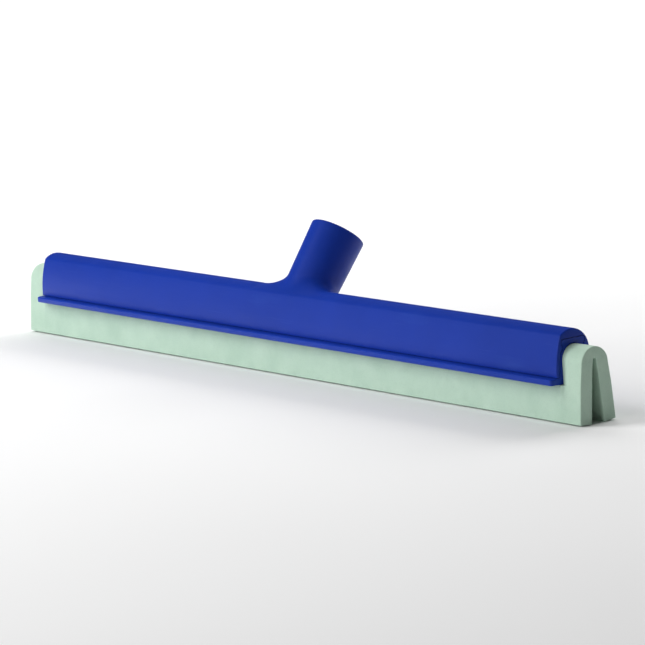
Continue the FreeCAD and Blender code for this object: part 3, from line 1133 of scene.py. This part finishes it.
@dataclass
class FoamBlade:
    """The folded foam strip: gripped thin inside the rail and sprung open at both free ends."""

    across: float
    length: float = 605.0
    held_length: float = 566.4
    swell: float = 10.0
    spring: float = 0.52
    edge_round: float = 0.45
    foot_half: float = 14.4
    foot_rise: float = 1.1
    gap_half: float = 5.2
    waist_height: float = 23.8
    neck_lag: float = 0.46
    leg_steps: int = 8
    upper_steps: int = 6
    arch_steps: int = 20
    tip_steps: int = 3
    crown_steps: int = 6
    sole_steps: int = 4
    spring_steps: int = 12
    clear_of_rail: float = 0.12

    def ring(self, free: float) -> list[Point]:
        """The cross-section at one place.

        Args:
            free: 0 where the rail grips, 1 where the fold is fully sprung.

        Returns:
            A closed line with the same count of points at every place.
        """
        neck_free = max(0.0, (1 + self.neck_lag) * free - self.neck_lag)
        held, sprung = HELD_FOLD, SPRUNG_FOLD
        waist = (blend(held.waist_half, sprung.waist_half, free), self.waist_height)
        neck = blend_points(held.neck, sprung.neck, neck_free)
        shoulder = blend_points(held.shoulder, sprung.shoulder, free)
        knee = blend_points(held.knee, sprung.knee, free)
        tip = blend_points(held.tip, sprung.tip, free)
        tip_rise = tip[0] * blend(held.tip_rise, sprung.tip_rise, free)
        foot, inner_foot = (self.foot_half, self.foot_rise), (self.gap_half, 0.0)
        outer = [foot] + even_points(foot, waist, self.leg_steps) + [neck]
        outer += even_points(neck, shoulder, self.upper_steps)
        arch = []
        for step in range(1, self.arch_steps):
            angle = math.pi * step / self.arch_steps
            arch.append((shoulder[0] * math.cos(angle), shoulder[1] + shoulder[0] * math.sin(angle)))
        gap = [inner_foot] + even_points(inner_foot, knee, self.leg_steps)
        gap += even_points(knee, tip, self.tip_steps)
        crown = []
        for step in range(1, self.crown_steps):
            angle = math.pi * step / self.crown_steps
            crown.append((-tip[0] * math.cos(angle), tip[1] + tip_rise * math.sin(angle)))
        sole = even_points(inner_foot, foot, self.sole_steps)[:-1]
        points = list(outer)
        points += arch
        points += [(-y, z) for y, z in reversed(outer)]
        points += [(-y, z) for y, z in reversed(sole)]
        points += [(-y, z) for y, z in gap]
        points += crown
        points += list(reversed(gap))
        points += sole
        return points

    def stations(self) -> list[tuple[float, float]]:
        """Places along the half blade, each with how far the fold has sprung open.

        Returns:
            Pairs of millimetres from the middle and a share from 0 to 1.
        """
        held, end = self.held_length / 2, self.length / 2
        places = [(share * held, 0.0) for share in (0.0, 0.2, 0.4, 0.6, 0.8, 0.92, 0.98)]
        places.append((held - 0.05, 0.0))
        for step in range(self.spring_steps + 1):
            share = step / self.spring_steps
            ease = share * (2 - share)
            places.append((held + self.clear_of_rail + self.swell * share,
                           self.spring + (1 - self.spring) * ease))
        places.append((end - 3.0, 1.0))
        places.append((end, 1.0))
        return places

    def build(self, material: bpy.types.Material) -> bpy.types.Object:
        """Makes the blade.

        Args:
            material: The foam rubber.

        Returns:
            The finished piece.
        """
        half = self.stations()
        places = [(-x, free) for x, free in reversed(half[1:])] + half
        mesh = bpy.data.meshes.new("foam_blade_fold")
        work = bmesh.new()
        rows = []
        for x, free in places:
            rows.append([work.verts.new((x * MM, self.across + y * MM, z * MM)) for y, z in self.ring(free)])
        count = len(rows[0])
        for first, second in zip(rows, rows[1:]):
            for index in range(count):
                after = (index + 1) % count
                work.faces.new((first[index], first[after], second[after], second[index]))
        work.faces.new(rows[0])
        work.faces.new(rows[-1])
        bmesh.ops.recalc_face_normals(work, faces=work.faces)
        work.to_mesh(mesh)
        work.free()
        piece = bpy.data.objects.new("foam_blade_fold", mesh)
        bpy.context.scene.collection.objects.link(piece)
        edit(piece, "EDGE")
        end = self.length / 2
        bevel_edges(self.edge_round, 3, lambda a, b: near(abs(a.x), end) and near(abs(b.x), end))
        finish_piece(piece, material, 40.0)
        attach(piece, Body.CASSETTE.value)
        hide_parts("foam_blade")
        return piece


# ---------------------------------------------------------------- stage


@dataclass(frozen=True)
class Lamp:
    """A square soft light: its place and side in metres, power in watts, and the point that it faces."""

    name: str
    place: tuple[float, float, float]
    size: float
    power: float
    gleam: bool
    target: tuple[float, float, float] | None = None


STUDIO_LAMPS = (
    Lamp("low key", (-1.3, -1.3, 0.6), 1.0, 10.0, False),
    Lamp("high key", (-1.0, -1.2, 1.6), 1.0, 24.0, False),
    Lamp("front", (0.2, -1.9, 0.8), 1.2, 14.0, True),
    Lamp("rim", (0.0, 1.8, 1.2), 1.2, 26.0, False),
    Lamp("backdrop", (-2.0, 1.5, 1.9), 2.4, 62.0, False, (-2.0, 1.5, 0.0)),
)


@dataclass
class Stage:
    """Pale floor, soft studio lights and the camera."""

    azimuth: float = 53.0429
    elevation: float = 9.9982
    roll: float = -4.1039
    distance: float = 2.7727
    lens: float = 231.11
    aim: Vector = field(default_factory=lambda: Vector((0.005913, 0.0, 0.031195)))

    def build(self) -> None:
        """Makes the whole stage."""
        bpy.context.scene.view_settings.view_transform = "Standard"
        self.make_world()
        self.make_floor()
        self.make_camera()
        for lamp in STUDIO_LAMPS:
            self.make_light(lamp)

    def make_world(self) -> None:
        """Even white surroundings."""
        world = bpy.data.worlds.new("studio")
        world.use_nodes = True
        background = world.node_tree.nodes["Background"]
        background.inputs["Color"].default_value = (1.0, 1.0, 1.0, 1.0)
        background.inputs["Strength"].default_value = 0.06
        bpy.context.scene.world = world

    def make_floor(self) -> None:
        """A wide pale floor."""
        deselect()
        bpy.ops.mesh.primitive_plane_add(size=40.0, location=(0.0, 0.0, 0.0))
        floor = bpy.context.object
        floor.name = "floor"
        tree = NodeTree("pale_floor")
        tone = tree.ramp(tree.noise(0.8, 2.0, 0.5), 0.3, 0.7, 0.0, 1.0)
        colour = tree.mix_colour(tone, (0.88, 0.88, 0.88), (0.92, 0.92, 0.92))
        tree.link(colour, tree.shader.inputs["Base Color"])
        tree.shader.inputs["Roughness"].default_value = 0.9
        dress(floor, tree.material)

    def make_light(self, lamp: Lamp) -> None:
        """Adds one soft light.

        Args:
            lamp: The light.
        """
        target = self.aim if lamp.target is None else Vector(lamp.target)
        place = Vector(lamp.place)
        data = bpy.data.lights.new(lamp.name, "AREA")
        data.size = lamp.size
        data.energy = lamp.power
        item = bpy.data.objects.new(lamp.name, data)
        item.location = place
        item.visible_glossy = lamp.gleam
        item.rotation_euler = (target - place).to_track_quat("-Z", "Y").to_euler()
        bpy.context.scene.collection.objects.link(item)

    def make_camera(self) -> None:
        """Places the camera by its angles round the aim point."""
        turn, rise, lean = (math.radians(a) for a in (self.azimuth, self.elevation, self.roll))
        back = Vector((math.sin(turn) * math.cos(rise), -math.cos(turn) * math.cos(rise), math.sin(rise)))
        right = Vector((math.cos(turn), math.sin(turn), 0.0))
        up = back.cross(right)
        right, up = (right * math.cos(lean) + up * math.sin(lean),
                     up * math.cos(lean) - right * math.sin(lean))
        place = self.aim + back * self.distance
        data = bpy.data.cameras.new("camera")
        data.lens = self.lens
        data.sensor_width = 36.0
        data.clip_end = 50.0
        camera = bpy.data.objects.new("camera", data)
        camera.matrix_world = Matrix.Translation(place) @ Matrix((right, up, back)).transposed().to_4x4()
        bpy.context.scene.collection.objects.link(camera)
        bpy.context.scene.camera = camera


def report(piece: bpy.types.Object) -> None:
    """Logs a finished piece and its size."""
    log.info("%s: %d faces, %s mm", piece.name, len(piece.data.polygons),
             " x ".join("%.1f" % (side / MM) for side in piece.dimensions))


def main() -> None:
    """Builds the object and its stage in order."""
    logging.basicConfig(level=logging.INFO)
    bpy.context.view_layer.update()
    low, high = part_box("core_strip")
    across = (low[1] + high[1]) / 2
    deselect()
    Stage().build()
    report(Head(across).build(BLUE_HEAD.build()))
    report(CassetteRail(across).build(BLUE_RAIL.build()))
    report(FoamBlade(across).build(MINT_FOAM.build()))
    core = frame["nodes"]["core_strip"]
    dress(core, CORE_WHITE.build())
    report(core)


if __name__ == "__main__":
    main()
